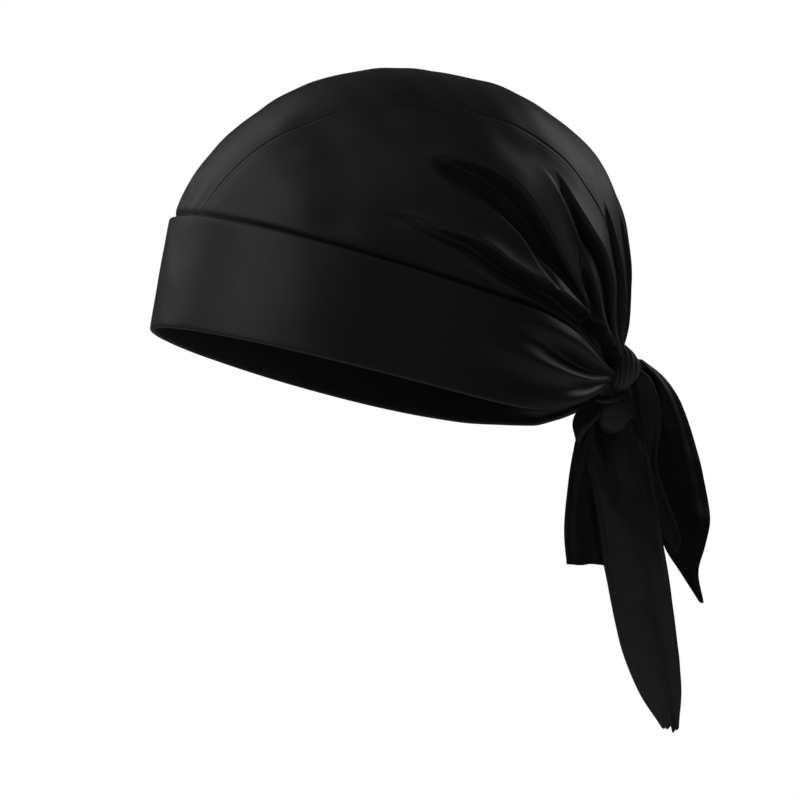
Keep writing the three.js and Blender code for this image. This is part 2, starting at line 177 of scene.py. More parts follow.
def satinWeaveGroup():
    group = bpy.data.node_groups.new("SatinWeave", "ShaderNodeTree")
    for label, default in (("Threads", 3000.0), ("Slub", 0.5)):
        socket = group.interface.new_socket(label, in_out="INPUT", socket_type="NodeSocketFloat")
        socket.default_value = default
    group.interface.new_socket("Vector", in_out="INPUT", socket_type="NodeSocketVector")
    group.interface.new_socket("Height", in_out="OUTPUT", socket_type="NodeSocketFloat")
    group.interface.new_socket("Shade", in_out="OUTPUT", socket_type="NodeSocketFloat")
    nodes, links = group.nodes, group.links
    start = nodes.new("NodeGroupInput")
    end = nodes.new("NodeGroupOutput")
    threads = nodes.new("ShaderNodeVectorMath")
    threads.operation = "SCALE"
    links.new(start.outputs["Vector"], threads.inputs[0])
    links.new(start.outputs["Threads"], threads.inputs["Scale"])
    warp = nodes.new("ShaderNodeMapping")
    warp.inputs["Scale"].default_value = (1.0, weaveLook["drawn"], 1.0)
    links.new(threads.outputs[0], warp.inputs["Vector"])
    floats = nodes.new("ShaderNodeTexNoise")
    floats.inputs["Scale"].default_value = 1.0
    floats.inputs["Detail"].default_value = 2.0
    links.new(warp.outputs[0], floats.inputs["Vector"])
    weft = nodes.new("ShaderNodeMapping")
    weft.inputs["Scale"].default_value = (weaveLook["drawn"], 1.0, 1.0)
    links.new(threads.outputs[0], weft.inputs["Vector"])
    picks = nodes.new("ShaderNodeTexNoise")
    picks.inputs["Scale"].default_value = 1.0
    picks.inputs["Detail"].default_value = 1.0
    links.new(weft.outputs[0], picks.inputs["Vector"])
    both = nodes.new("ShaderNodeMath")
    both.operation = "MULTIPLY_ADD"
    both.inputs[1].default_value = weaveLook["weftShare"]
    links.new(picks.outputs["Fac"], both.inputs[0])
    links.new(floats.outputs["Fac"], both.inputs[2])
    links.new(both.outputs[0], end.inputs["Height"])
    slub = nodes.new("ShaderNodeMapping")  # thicker threads, far apart
    slub.inputs["Scale"].default_value = (weaveLook["slubAcross"], weaveLook["slubAlong"], 1.0)
    links.new(threads.outputs[0], slub.inputs["Vector"])
    streaks = nodes.new("ShaderNodeTexNoise")
    streaks.inputs["Scale"].default_value = 1.0
    streaks.inputs["Detail"].default_value = 3.0
    links.new(slub.outputs[0], streaks.inputs["Vector"])
    blend = nodes.new("ShaderNodeMix")
    blend.data_type = "FLOAT"
    links.new(start.outputs["Slub"], blend.inputs["Factor"])
    links.new(floats.outputs["Fac"], blend.inputs[2])
    links.new(streaks.outputs["Fac"], blend.inputs[3])
    links.new(blend.outputs[0], end.inputs["Shade"])
    return group


satinWeave = satinWeaveGroup()


def makeSatin(name, look):
    material = bpy.data.materials.new(name)
    material.use_nodes = True
    nodes, links = material.node_tree.nodes, material.node_tree.links
    shader = nodes["Principled BSDF"]
    place = nodes.new("ShaderNodeUVMap")
    weave = nodes.new("ShaderNodeGroup")
    weave.node_tree = satinWeave
    weave.inputs["Threads"].default_value = look["threads"]
    weave.inputs["Slub"].default_value = look["slub"]
    links.new(place.outputs["UV"], weave.inputs["Vector"])
    colour = nodes.new("ShaderNodeMix")
    colour.data_type = "RGBA"
    colour.inputs[6].default_value = (*look["deep"], 1)
    colour.inputs[7].default_value = (*look["lit"], 1)
    links.new(weave.outputs["Shade"], colour.inputs["Factor"])
    links.new(colour.outputs[2], shader.inputs["Base Color"])
    polish = nodes.new("ShaderNodeMapRange")
    polish.inputs["To Min"].default_value = look["smooth"]
    polish.inputs["To Max"].default_value = look["rough"]
    links.new(weave.outputs["Shade"], polish.inputs["Value"])
    links.new(polish.outputs["Result"], shader.inputs["Roughness"])
    bump = nodes.new("ShaderNodeBump")
    bump.inputs["Strength"].default_value = look["bump"]
    bump.inputs["Distance"].default_value = look["threadDepth"] * mm
    links.new(weave.outputs["Height"], bump.inputs["Height"])
    links.new(bump.outputs["Normal"], shader.inputs["Normal"])
    shader.inputs["Specular IOR Level"].default_value = look["specular"]
    shader.inputs["Sheen Weight"].default_value = look["sheen"]
    shader.inputs["Sheen Roughness"].default_value = 0.5
    return material


satin = {
    "deep": (0.006, 0.006, 0.0075), "lit": (0.014, 0.014, 0.017), "threads": 3200.0, "slub": 0.5,
    "smooth": 0.38, "rough": 0.56, "bump": 0.5, "threadDepth": 0.06, "specular": 0.5, "sheen": 0.06,
}
crownSatin = makeSatin("crownSatin", satin)
bandSatin = makeSatin("bandSatin", {**satin, "slub": 0.35})
tieSatin = makeSatin("tieSatin", {**satin, "threads": 3600.0, "slub": 0.6})
# The knot's cloth gets a lighter copy of the same satin, a painted highlight, the upper wrap a still lighter
# one, and the wide tail a darker one, painted shade.
paintedLightKnotSatin = makeSatin("paintedLightKnotSatin", {
    **satin, "deep": (0.014, 0.014, 0.016), "lit": (0.03, 0.03, 0.034), "threads": 3600.0, "sheen": 0.12,
})
# Painted highlight: the upper wrap's strands are made lighter than the satin, with more sheen.
paintedLightWrapSatin = makeSatin("paintedLightWrapSatin", {
    **satin, "deep": (0.035, 0.035, 0.039), "lit": (0.085, 0.085, 0.092), "threads": 3600.0, "sheen": 0.3,
})
# Painted shade: the wide tail gets a darker copy of the satin with less specular and sheen.
paintedShadeSatin = makeSatin("paintedShadeSatin", {
    **satin, "deep": (0.003, 0.003, 0.004), "lit": (0.007, 0.007, 0.009), "threads": 3600.0,
    "specular": 0.3, "sheen": 0.03,
})
print("materials made")


# The plan of the cap, an ellipse that is a little pointed towards the knot. turn runs in radians
# from the brow at 0 to the knot at pi. inset moves the plan inwards, and lean moves the brow out.
def planPoint(turn, inset, lean):
    side = np.sin(turn)
    along = -np.cos(turn)
    power = np.where(along > 0, 1.8, 2.0)
    radius = (np.abs(side) ** power + np.abs(along) ** power) ** (-1 / power)
    front = cap["halfLength"] + cap["centre"] + lean
    half = np.where(along > 0, cap["halfLength"] - cap["centre"], front)
    x = side * radius * (cap["halfWidth"] - inset)
    y = cap["centre"] + along * radius * (half - inset)
    return x, y


# Edges of the band by degrees from the brow, as shares of its height: low is the lower edge on the
# left side, right the one on the right side, and high the upper edge on both.
bandEdges = [
    {"at": 0, "low": 0.0, "right": 0.0, "high": 1.0},
    {"at": 45, "low": 0.0, "right": 0.0, "high": 0.965},
    {"at": 90, "low": 0.0, "right": 0.01, "high": 0.905},
    {"at": 120, "low": 0.045, "right": 0.055, "high": 0.885},
    {"at": 135, "low": 0.14, "right": 0.115, "high": 0.83},
    {"at": 150, "low": 0.315, "right": 0.175, "high": 0.725},
    {"at": 163, "low": 0.5, "right": 0.235, "high": 0.675},
    {"at": 180, "low": 0.6, "right": 0.52, "high": 0.64},
]


# The crown as a disc: its middle is the top, its edge the hem, and (0, 1) the knot. Threads fan
# out from the knot over it. at is a thread's angle in the knot, rim where it meets the hem, in
# degrees from the brow, and bow how far it swings out on the way.
fanLines = [
    {"at": 0, "rim": 171, "bow": 0.3},
    {"at": 2.5, "rim": 150, "bow": 0.31},
    {"at": 5, "rim": 125, "bow": 0.33},
    {"at": 8, "rim": 98, "bow": 0.38},
    {"at": 12, "rim": 72, "bow": 0.46},
    {"at": 17, "rim": 47, "bow": 0.55},
    {"at": 34, "rim": 31, "bow": 0.45},
    {"at": 50, "rim": 20, "bow": 0.36},
    {"at": 68, "rim": 9, "bow": 0.34},
    {"at": 90, "rim": 0, "bow": 0.33},
]


def discLine(angle, share):
    mirrored = angle > 90
    at = np.where(mirrored, 180 - angle, angle)
    rim = np.radians(follow(fanLines, "rim", at))
    bow = follow(fanLines, "bow", at)
    wide = np.cos(np.radians(at)) / cap["halfWidth"]
    tall = -np.sin(np.radians(at)) / (cap["crownHeight"] * 1.15)
    size = np.hypot(wide, tall)
    swing = wide * cap["neckRadius"]
    away = 1 + tall * cap["neckRadius"]
    start = np.stack([np.sin(swing) * away, np.cos(swing) * away], axis=-1)
    end = np.stack([np.sin(rim), -np.cos(rim)], axis=-1)
    chord = np.linalg.norm(end - start, axis=-1)
    inward = math.pi / 2 * np.exp(-rim / math.radians(55))
    back = np.stack([np.cos(rim + inward), np.sin(rim + inward)], axis=-1)
    leave = np.stack([
        wide * np.cos(swing) + tall * np.sin(swing),
        tall * np.cos(swing) - wide * np.sin(swing),
    ], axis=-1)
    first = start + leave * (bow * chord / size)[..., None]
    second = end + back * (0.34 * chord)[..., None]
    t = share[..., None]
    spot = start * (1 - t) ** 3 + 3 * first * t * (1 - t) ** 2 + 3 * second * t * t * (1 - t) + end * t ** 3
    spot[..., 0] = np.where(mirrored, -spot[..., 0], spot[..., 0])
    return spot


# The spans over which forms of the dome grow: the back and the shallower hem by degrees from the
# brow, and the bulges by the share of the crown's height. The brow's dies out over browEnd.
domeSpans = {
    "back": (120, 175), "hem": (112, 150), "nape": (0, 0.14), "brow": (0, 0.1), "browEnd": (0.25, 0.8),
}


def dome(spot):  # the crown's smooth form at a place on the disc
    x, y = spot[..., 0], spot[..., 1]
    turn = np.arctan2(x, -y)
    degrees = np.abs(np.degrees(turn))
    behind = ease(*domeSpans["back"], degrees)
    sunk = mix(cap["hemDepth"], cap["hemBehind"], ease(*domeSpans["hem"], degrees))
    base = follow(bandEdges, "high", degrees) * cap["bandHeight"] - sunk
    lift = (1 - np.hypot(x, y)) * math.pi / 2
    power = cap["crownPower"]
    swell = (np.abs(np.cos(lift)) ** power + np.abs(np.sin(lift)) ** power) ** (-1 / power)
    level = np.cos(lift) * swell
    rise = np.sin(lift) * swell
    lean = cap["bandFlare"] * (base / cap["bandHeight"]) * np.maximum(0, np.cos(turn))
    planX, planY = planPoint(turn, cap["inset"], lean)
    px = planX * level
    py = cap["centre"] + cap["crownLean"] * rise + (planY - cap["centre"]) * level
    pz = base + (cap["crownHeight"] - base) * rise
    py = py + cap["napeBulge"] * behind * ease(*domeSpans["nape"], rise) * level
    ahead = np.maximum(0, np.cos(turn)) * ease(*domeSpans["brow"], rise)
    py = py - cap["browBulge"] * (ahead * (1 - ease(*domeSpans["browEnd"], rise)))
    away = np.hypot(px, pz - cap["neckRise"]) - cap["neckRadius"]
    flare = np.exp(-np.maximum(0, away) / cap["neckFlare"])
    py = py + (cap["halfLength"] - py) * behind * flare
    return np.stack([px, py, pz], axis=-1)


def domeFacing(spot):  # which way the dome faces there
    step = 0.004
    east = dome(spot + [step, 0]) - dome(spot - [step, 0])
    north = dome(spot + [0, step]) - dome(spot - [0, step])
    facing = unit(np.cross(east, north))
    outward = dome(spot) - [0, cap["centre"], 30]
    return facing * np.sign((facing * outward).sum(-1, keepdims=True))


def smoothPath(corners, count):  # a curve through a few places on the disc
    corners = np.array(corners, float)
    table = [{"at": i, "x": x, "y": y} for i, (x, y) in enumerate(corners)]
    place = np.linspace(0, len(corners) - 1, count)
    return np.stack([follow(table, "x", place), follow(table, "y", place)], axis=-1)


# Folds of the crown. path is the crest's line over the disc, from its far tip to the knot. rise is
# how far the crest stands out, and drop how deep the valley beside it is. wall is the width of the
# steep side, hollow of the valley past it and back of the gentle side, all in mm. lean tips the
# crest over its valley, and kept is the share of its height that a fold has at the knot. The
# valley lies towards the band, or with side -1 towards the top. Where taper is given, the fold
# draws in from that share of its length on, to the share narrow of its width.
leftFolds = [
    {"path": [(0.89, 0.04), (0.90, 0.15), (0.886, 0.283), (0.84, 0.428), (0.79, 0.53), (0.744, 0.597),
              (0.68, 0.67)],
     "rise": 2.0, "drop": 0.8, "wall": 2.4, "hollow": 2.6, "back": 3.0, "lean": 0.3, "kept": 0.5},
    {"path": [(0.79, -0.27), (0.822, -0.12), (0.832, -0.02), (0.828, 0.07), (0.828, 0.18), (0.822, 0.275),
              (0.788, 0.395), (0.738, 0.50), (0.652, 0.625), (0.53, 0.742), (0.421, 0.818), (0.292, 0.885),
              (0.17, 0.925)],
     "rise": 4.1, "drop": 4.8, "wall": 3.6, "hollow": 6.5, "back": 4.0, "lean": 1.4, "kept": 0.95},
    {"path": [(0.71, 0.03), (0.73, 0.10), (0.755, 0.18), (0.768, 0.26), (0.776, 0.337), (0.773, 0.41),
              (0.758, 0.485), (0.712, 0.57), (0.64, 0.645)],
     "rise": 1.8, "drop": 0.8, "wall": 2.4, "hollow": 4.0, "back": 6.0, "lean": 1.0, "kept": 0.4, "side": -1},
    {"path": [(0.645, -0.14), (0.63, -0.08), (0.624, 0.03), (0.632, 0.16), (0.652, 0.28), (0.666, 0.38),
              (0.665, 0.47), (0.63, 0.60), (0.56, 0.72), (0.49, 0.79)],
     "rise": 2.8, "drop": 7.5, "wall": 4.0, "hollow": 18.0, "back": 14.0, "lean": 2.2, "kept": 0.08,
     "taper": 0.3, "narrow": 0.07},
    {"path": [(0.53, 0.22), (0.562, 0.32), (0.578, 0.43), (0.574, 0.53), (0.55, 0.62)],
     "rise": 0.7, "drop": 0.8, "wall": 2.4, "hollow": 2.6, "back": 3.0, "lean": 0.6, "kept": 0.3, "side": -1},
    {"path": [(0.575, 0.48), (0.568, 0.57), (0.54, 0.655), (0.525, 0.735), (0.47, 0.80), (0.36, 0.865)],
     "rise": 2.6, "drop": 3.4, "wall": 2.6, "hollow": 4.5, "back": 4.0, "lean": 0.8, "kept": 0.12,
     "taper": 0.5, "narrow": 0.12},
    {"path": [(0.50, 0.27), (0.518, 0.39), (0.50, 0.49), (0.463, 0.575), (0.425, 0.68), (0.41, 0.78),
              (0.33, 0.87), (0.20, 0.915)],
     "rise": 3.0, "drop": 5.4, "wall": 3.0, "hollow": 5.5, "back": 5.0, "lean": 1.3, "kept": 0.18,
     "taper": 0.5, "narrow": 0.12},
    {"path": [(0.32, 0.48), (0.335, 0.59), (0.30, 0.71), (0.275, 0.80), (0.24, 0.87), (0.12, 0.925)],
     "rise": 2.2, "drop": 4.2, "wall": 2.6, "hollow": 4.5, "back": 4.0, "lean": 1.0, "kept": 0.2,
     "taper": 0.5, "narrow": 0.12},
    {"path": [(0.15, 0.52), (0.165, 0.64), (0.15, 0.76), (0.12, 0.85), (0.07, 0.93)],
     "rise": 1.2, "drop": 2.2, "wall": 2.6, "hollow": 4.0, "back": 4.0, "lean": 0.8, "kept": 0.3},
    {"path": [(0.02, 0.44), (0.03, 0.60), (0.03, 0.74), (0.02, 0.93)],
     "rise": 1.2, "drop": 2.0, "wall": 2.6, "hollow": 4.0, "back": 4.0, "lean": 0.6, "kept": 0.3},
]
# The right side isn't a mirror image: each fold is moved and sized a little differently.
rightSide = {"shift": 0.03, "offset": 0.012, "size": 0.2}
rightFolds = []
for number, fold in enumerate(leftFolds):
    shift = rightSide["shift"] * math.sin(2.4 * number + 1)
    path = [(-x * (1 + shift) - rightSide["offset"], y + shift * 0.5) for x, y in fold["path"]]
    size = 1 + rightSide["size"] * math.sin(1.7 * number)
    rightFolds.append({**fold, "path": path, "rise": fold["rise"] * size, "drop": fold["drop"] * size})
crownFolds = leftFolds + rightFolds

# How each fold runs along its length: it grows over the share tip, from tipWidth of its width on,
# fades from the share fade on and dies out over beyond, in mm, past its ends. A taper is done at
# taperEnd. Without one the fold draws in from the share draw on, to the share kept of its width
# within the limits in drawnTo. floor is the share of the hollow that stays deep.
foldRun = {
    "tip": 0.34, "tipWidth": 0.5, "fade": 0.6, "draw": 0.55, "drawnTo": (0.35, 0.8), "taperEnd": 0.95,
    "beyond": 5.0, "floor": 0.35,
}


def foldsAt(points, folds, count=180):  # how far the folds move each point of the crown
    moved = np.zeros_like(points)
    flat = points.reshape(-1, 3)
    for fold in folds:
        spots = smoothPath(fold["path"], count)
        left = 1 if spots[count // 3, 0] > 0 else -1
        side = fold.get("side", 1)
        line = dome(spots)
        tangent = unit(np.gradient(line, axis=0))
        up = domeFacing(spots)
        below = unit(np.cross(tangent, up)) * left * side
        gaps = np.linalg.norm(np.gradient(line, axis=0), axis=1)
        length = gaps.sum()
        reach = (flat ** 2).sum(1)[:, None] + (line ** 2).sum(1)[None, :] - 2 * flat @ line.T
        near = reach.argmin(axis=1)
        off = flat - line[near]
        slide = (off * tangent[near]).sum(1)
        along = np.clip(near + slide / gaps[near], 0, count - 1) / (count - 1)
        beyond = np.abs(slide) * ((near == 0) | (near == count - 1))
        across = (off * below[near]).sum(1)
        if "taper" in fold:  # folds draw together at the knot
            size = mix(fold["narrow"], 1, 1 - ease(fold["taper"], foldRun["taperEnd"], along))
            shallow = np.sqrt(size)
        else:
            least, most = foldRun["drawnTo"]
            size = mix(min(max(fold["kept"], least), most), 1, 1 - ease(foldRun["draw"], 1.0, along))
            shallow = 1
        tip = ease(0, foldRun["tip"], along) ** 0.8
        size = size * mix(foldRun["tipWidth"], 1, tip)
        down = np.maximum(across, 0) / size
        back = np.maximum(-across, 0) / size
        steep = ease(0, fold["wall"], down)
        farEdge = fold["wall"] + fold["hollow"]
        lifted = 1 - ease(fold["wall"] + foldRun["floor"] * fold["hollow"], farEdge, down)
        profile = fold["rise"] * (1 - steep) - fold["drop"] * steep * lifted
        profile = np.where(across > 0, profile, fold["rise"] * np.exp(-(back / fold["back"]) ** 1.3))
        crest = np.exp(-(np.abs(across) / size / fold["wall"]) ** 2)
        height = tip * mix(fold["kept"], 1, 1 - ease(foldRun["fade"], 1.0, along)) * shallow
        height = height * np.exp(-(beyond / foldRun["beyond"]) ** 2)
        push = up[near] * profile[:, None] + below[near] * (fold["lean"] * crest)[:, None]
        moved += (push * height[:, None]).reshape(points.shape)
    return moved


def settled(points, rounds):  # eases the sharpest corners of a grid, with its borders kept
    for _ in range(rounds):
        inner = points[1:-1, 1:-1]
        around = (points[:-2, 1:-1] + points[2:, 1:-1] + points[1:-1, :-2] + points[1:-1, 2:]) / 4
        points = points.copy()
        points[1:-1, 1:-1] = mix(inner, around, 0.5)
        points[1:-1, 0] = mix(points[1:-1, 0], (points[:-2, 0] + points[2:, 0]) / 2, 0.5)
        points[1:-1, -1] = mix(points[1:-1, -1], (points[:-2, -1] + points[2:, -1]) / 2, 0.5)
    return points


# Soft dents of the crown: where they lie on the disc, and their depth and reach in mm.
crownDents = [
    {"spot": (0.47, -0.52), "depth": 1.5, "reach": 13},
    {"spot": (0.50, -0.42), "depth": 1.0, "reach": 9},
    {"spot": (0.55, -0.24), "depth": 1.1, "reach": 10},
    {"spot": (0.55, -0.14), "depth": 1.1, "reach": 9},
    {"spot": (0.53, 0.12), "depth": 1.3, "reach": 9},
    {"spot": (0.50, 0.20), "depth": 1.0, "reach": 8},
    {"spot": (0.60, -0.55), "depth": -0.8, "reach": 12},
    {"spot": (0.82, -0.42), "depth": 0.7, "reach": 12},
    {"spot": (-0.46, -0.46), "depth": 1.2, "reach": 12},
    {"spot": (-0.55, -0.12), "depth": 1.1, "reach": 11},
    {"spot": (-0.52, 0.14), "depth": 1.2, "reach": 9},
    {"spot": (-0.80, -0.38), "depth": 0.7, "reach": 12},
]


def dentsAt(points):
    total = np.zeros(points.shape[:-1])
    for dent in crownDents:
        place = dome(np.array([dent["spot"]]))[0]
        total -= dent["depth"] * np.exp(-((points - place) ** 2).sum(-1) / dent["reach"] ** 2)
    return total


seam = {"depth": 0.32, "width": 0.8, "stitchAt": 2.8, "stitchDepth": 0.07, "stitchWidth": 0.7}


def seamLines(points):  # the groove at a panel's sewn edge, and the stitch line beside it
    steps = np.linalg.norm(np.diff(points, axis=1), axis=-1)
    ahead = np.concatenate([np.zeros((len(points), 1)), np.cumsum(steps, axis=1)], axis=1)
    edge = np.minimum(ahead, ahead[:, -1:] - ahead)
    groove = -seam["depth"] * np.exp(-(edge / seam["width"]) ** 2)
    stitches = -seam["stitchDepth"] * np.exp(-((edge - seam["stitchAt"]) / seam["stitchWidth"]) ** 2)
    return groove + stitches


# Relief of the crown in mm: the small pleats round the knot, two kinds of unevenness, how far the
# crown draws in at the band's edge, and how far the hem below it reaches out into the band.
crownRelief = {
    "pleat": 0.5, "pleats": 52, "pleatPlace": 16, "uneven": 0.5, "unevenFine": 0.2,
    "tuck": 1.5, "hemAhead": 3.2, "hemLeft": 5.0, "hemRight": 4.0,
}
# The spans over which the relief changes: pleats, seams and unevenness by their distance from the
# knot in mm, the hem's reach and its end by degrees from the brow, and tuck and hem by how far they
# lie over or under the band's edge in mm. The relief grows over hold above it, and behind the ears
# over holdBehind.
crownSpans = {
    "pleats": (6, 12), "seams": (14, 40), "uneven": (20, 60), "hemTurn": (100, 135), "hemEnd": (156, 166),
    "tuck": (0.5, 4.0), "hem": (0.2, 1.8), "hold": 11, "holdBehind": 3, "holdTurn": (118, 150),
}


def crownPoints(low, high, columns, rows):  # threads between two angles, and rows along them
    angles = np.linspace(low, high, columns)[None, :]
    shares = np.linspace(0, 1, rows)[:, None] ** 1.15
    angle, share = np.broadcast_arrays(angles, shares)
    spots = discLine(angle, share)
    points = dome(spots)
    moved = foldsAt(points, crownFolds)
    around = np.degrees(np.abs(np.arctan2(spots[..., 0], -spots[..., 1])))
    above = points[..., 2] - follow(bandEdges, "high", around) * cap["bandHeight"]
    held = mix(crownSpans["hold"], crownSpans["holdBehind"], ease(*crownSpans["holdTurn"], around))
    hold = ease(0, 1, (above - 1) / held)
    far = np.hypot(points[..., 0], points[..., 2] - cap["neckRise"])
    facing = domeFacing(spots)
    pleatPlace = crownRelief["pleatPlace"]
    nearKnot = np.exp(-((far - pleatPlace) / pleatPlace) ** 2) * ease(*crownSpans["pleats"], far)
    pleats = np.sin(np.radians(angle) * crownRelief["pleats"] + 1.2 * np.sin(np.radians(angle) * 9))
    pleats = crownRelief["pleat"] * pleats * nearKnot
    broad = crownRelief["uneven"] * waves(points, 60, 7, 3)
    broad = broad + crownRelief["unevenFine"] * waves(points, 22, 9, 5) + dentsAt(points)
    seams = seamLines(points) * ease(*crownSpans["seams"], far)
    height = (pleats + broad * ease(*crownSpans["uneven"], far) + seams)[..., None] * facing
    behind = np.where(spots[..., 0] > 0, crownRelief["hemLeft"], crownRelief["hemRight"])
    reach = mix(crownRelief["hemAhead"], behind, ease(*crownSpans["hemTurn"], around))
    reach = reach * (1 - ease(*crownSpans["hemEnd"], around)) * ease(*crownSpans["hem"], -above)
    tuck = crownRelief["tuck"] * (1 - ease(*crownSpans["tuck"], above)) - reach
    return settled(points + (moved + height) * hold[..., None] - tuck[..., None] * facing, 2)


crownRows = 200
crownParts = [
    {"name": "crownLeft", "node": "crown_left_panel", "low": 0, "high": 50, "columns": 200},
    {"name": "crownCentre", "node": "crown_center_panel", "low": 50, "high": 130, "columns": 240},
    {"name": "crownRight", "node": "crown_right_panel", "low": 130, "high": 180, "columns": 200},
]
for part in crownParts:
    points = worn(crownPoints(part["low"], part["high"], part["columns"], crownRows))
    flat, area = flatSize(points), clothArea(points)
    piece = clothGrid(part["name"], points, flat)
    giveWall(piece, clothWalls["crown"])
    dress(piece, part["node"], crownSatin, flat)
    print(part["name"], "made, flat size", np.round(flat, 0), "mm, area", round(area), "mm2")


# The band: a strip folded double, gathered into the knot at both ends. at is a gather's place and
# width its size, as shares of the band's height, and height how far it stands out. It grows
# between the degrees from and to, and drifts up or down as it does.
bandGathers = [
    {"at": 0.11, "drift": 0.0, "height": 0.05, "width": 0.14, "from": 106, "to": 142},
    {"at": 0.28, "drift": 0.0, "height": -0.14, "width": 0.09, "from": 132, "to": 152},
    {"at": 0.57, "drift": -0.10, "height": 0.125, "width": 0.15, "from": 94, "to": 134},
    {"at": 0.71, "drift": -0.09, "height": -0.18, "width": 0.12, "from": 112, "to": 146},
    {"at": 0.86, "drift": 0.0, "height": 0.12, "width": 0.15, "from": 100, "to": 140},
]


# rightGathers says how high the right side's gathers are against the left side's. puff is how far
# the inner layer stands loose, thinEdge half the thickness of the upper edge, topRoll the share of
# a half turn that it rolls in, and knotDrop how far below the neck's middle it enters the knot. It
# draws in to the knot from the degree pullFrom on, and its gathers end over gathersEnd.
band = {
    "flat": (585, 106), "columns": 440, "faceRows": 34, "edgeRows": 7, "rightGathers": 0.45,
    "uneven": 0.35, "unevenFine": 0.1, "puff": 0.5, "thinEdge": 0.45, "topRoll": 0.8, "knotDrop": 1.8,
    "knotBehind": 1.5, "knotTurn": 80, "pullFrom": 146, "gathersEnd": (162, 176),
}


def bandSurface(turn, up):  # turn in degrees from the brow, to the right below 0
    degrees = np.abs(turn)
    low = np.where(turn < 0, follow(bandEdges, "right", degrees), follow(bandEdges, "low", degrees))
    high = follow(bandEdges, "high", degrees)
    out = np.zeros(np.broadcast(turn, up).shape)
    for gather in bandGathers:
        along = ease(gather["from"], gather["to"], degrees)
        across = (up - gather["at"] - gather["drift"] * along) / gather["width"]
        along = along * (1 - ease(*band["gathersEnd"], degrees))
        out = out + gather["height"] * along * np.exp(-np.abs(across) ** 1.8)
    out = out * cap["bandHeight"] * (high - low) * np.where(turn < 0, band["rightGathers"], 1)
    lean = cap["bandFlare"] * up * np.maximum(0, np.cos(np.radians(turn)))
    x, y = planPoint(np.radians(turn), -out, lean)
    neckX, _ = planPoint(math.radians(cap["bandEnd"]), 0, 0)
    pull = ease(band["pullFrom"], cap["bandEnd"], degrees)
    neckZ = mix(cap["neckRise"] - cap["neckRadius"], cap["neckRise"] - band["knotDrop"], up)
    x = mix(x, np.sign(turn) * neckX * np.sin(np.radians(up * band["knotTurn"])), pull)
    y = mix(y, cap["halfLength"] + band["knotBehind"] * pull, pull)
    z = mix(mix(low, high, up) * cap["bandHeight"], neckZ, pull)
    return np.stack(np.broadcast_arrays(x, y, z), axis=-1)


def bandPoints(columns, faceRows, edgeRows):  # up the inside, round the lower edge and up the outside
    turns = np.linspace(-cap["bandEnd"], cap["bandEnd"], columns)[None, :]
    ups = np.linspace(0, 1, faceRows)[:, None]
    outer = bandSurface(turns, ups)
    facing = -normalsOf(outer)
    uneven = band["uneven"] * waves(outer, 70, 6, 11) + band["unevenFine"] * waves(outer, 20, 8, 12)
    outer = outer + facing * uneven[..., None]
    rise = unit(np.gradient(outer, axis=0))
    half = cap["bandWall"] / 2
    puff = (band["puff"] * np.sin(np.pi * ups) ** 0.6)[..., None]
    thin = mix(half, band["thinEdge"], ease(0.86, 1, ups))[..., None]
    middle = outer - facing * thin
    outside = middle + facing * (thin + puff * 0.4)
    inside = middle - facing * (thin + puff)
    section = list(inside[::-1])
    for step in range(1, edgeRows):  # the fold at the lower edge
        turn = math.pi * step / edgeRows
        section.append(middle[0] - facing[0] * half * math.cos(turn) - rise[0] * half * math.sin(turn))
    section += list(outside)
    for step in range(1, edgeRows):  # the upper edge rolls in over the crown's seam
        turn = math.pi * band["topRoll"] * step / edgeRows
        section.append(middle[-1] + (facing[-1] * math.cos(turn) + rise[-1] * math.sin(turn)) * thin[-1])
    return np.array(section)


points = worn(bandPoints(band["columns"], band["faceRows"], band["edgeRows"]))
piece = clothGrid("browBand", points, band["flat"])
giveWall(piece, clothWalls["band"])
dress(piece, "brow_band", bandSatin, band["flat"])
print("band made, area", round(clothArea(points)), "mm2")


# The knot. Its upper wrap is cloth wound in strands round the gathered neck, and its lower wrap
# a cuff round the tails. Places are in the worn frame. bow is how far its sides stand behind its
# top, drawn how narrow the top is against the sides, taper how much thinner the wrap's ends are,
# and over how far it runs on past them to close. swirl and swirlFine make the strands uneven,
# roundness shapes them, their grooves fade out over grooveEnd, and lean tips the top backwards.
upperWrap = {
    "middle": (0.0, 113.4, 9.2), "halfWidth": 9.4, "halfHeight": 11.6, "length": 11.5,
    "strands": 5, "depth": 2.3, "bow": 3.6, "drawn": 0.45, "taper": 0.30, "over": 0.3, "lean": 0.12,
    "swirl": 0.05, "swirlFine": 0.02, "roundness": 0.55, "grooveEnd": (0.42, 0.5),
    "closed": 0.97, "flat": (66, 34), "columns": 120, "rows": 110,
}


def wrapPoints(wrap, columns, rows):
    turn = np.linspace(0, 2 * math.pi, columns)[None, :]
    along = np.linspace(-wrap["over"], 1 + wrap["over"], rows)[:, None]
    shown = np.clip(along, 0, 1)
    twist = shown + wrap["swirl"] * np.sin(2 * turn + 0.5) + wrap["swirlFine"] * np.sin(5 * turn + 2)
    ridges = np.abs(np.sin(twist * wrap["strands"] * math.pi)) ** wrap["roundness"]
    barrel = 1 - wrap["taper"] * np.abs(2 * shown - 1) ** 2.6
    ends = 1 - wrap["closed"] * ease(0.0, wrap["over"], np.abs(along - 0.5) - 0.5)
    bulge = barrel * ends
    groove = wrap["depth"] * (ridges - 1) * (1 - ease(*wrap["grooveEnd"], np.abs(shown - 0.5)))
    facing = np.abs(np.cos(turn))
    drawn = mix(wrap["drawn"], 1, facing ** 1.3)
    x = (wrap["halfWidth"] * bulge + groove) * np.cos(turn)
    z = (wrap["halfHeight"] * bulge + groove * 0.8) * np.sin(turn)
    y = (shown - 0.5) * wrap["length"] * drawn + wrap["bow"] * (facing ** 1.4 - 0.5)
    points = np.stack(np.broadcast_arrays(x, y + wrap["lean"] * z, z), axis=-1)
    return points + np.array(wrap["middle"])


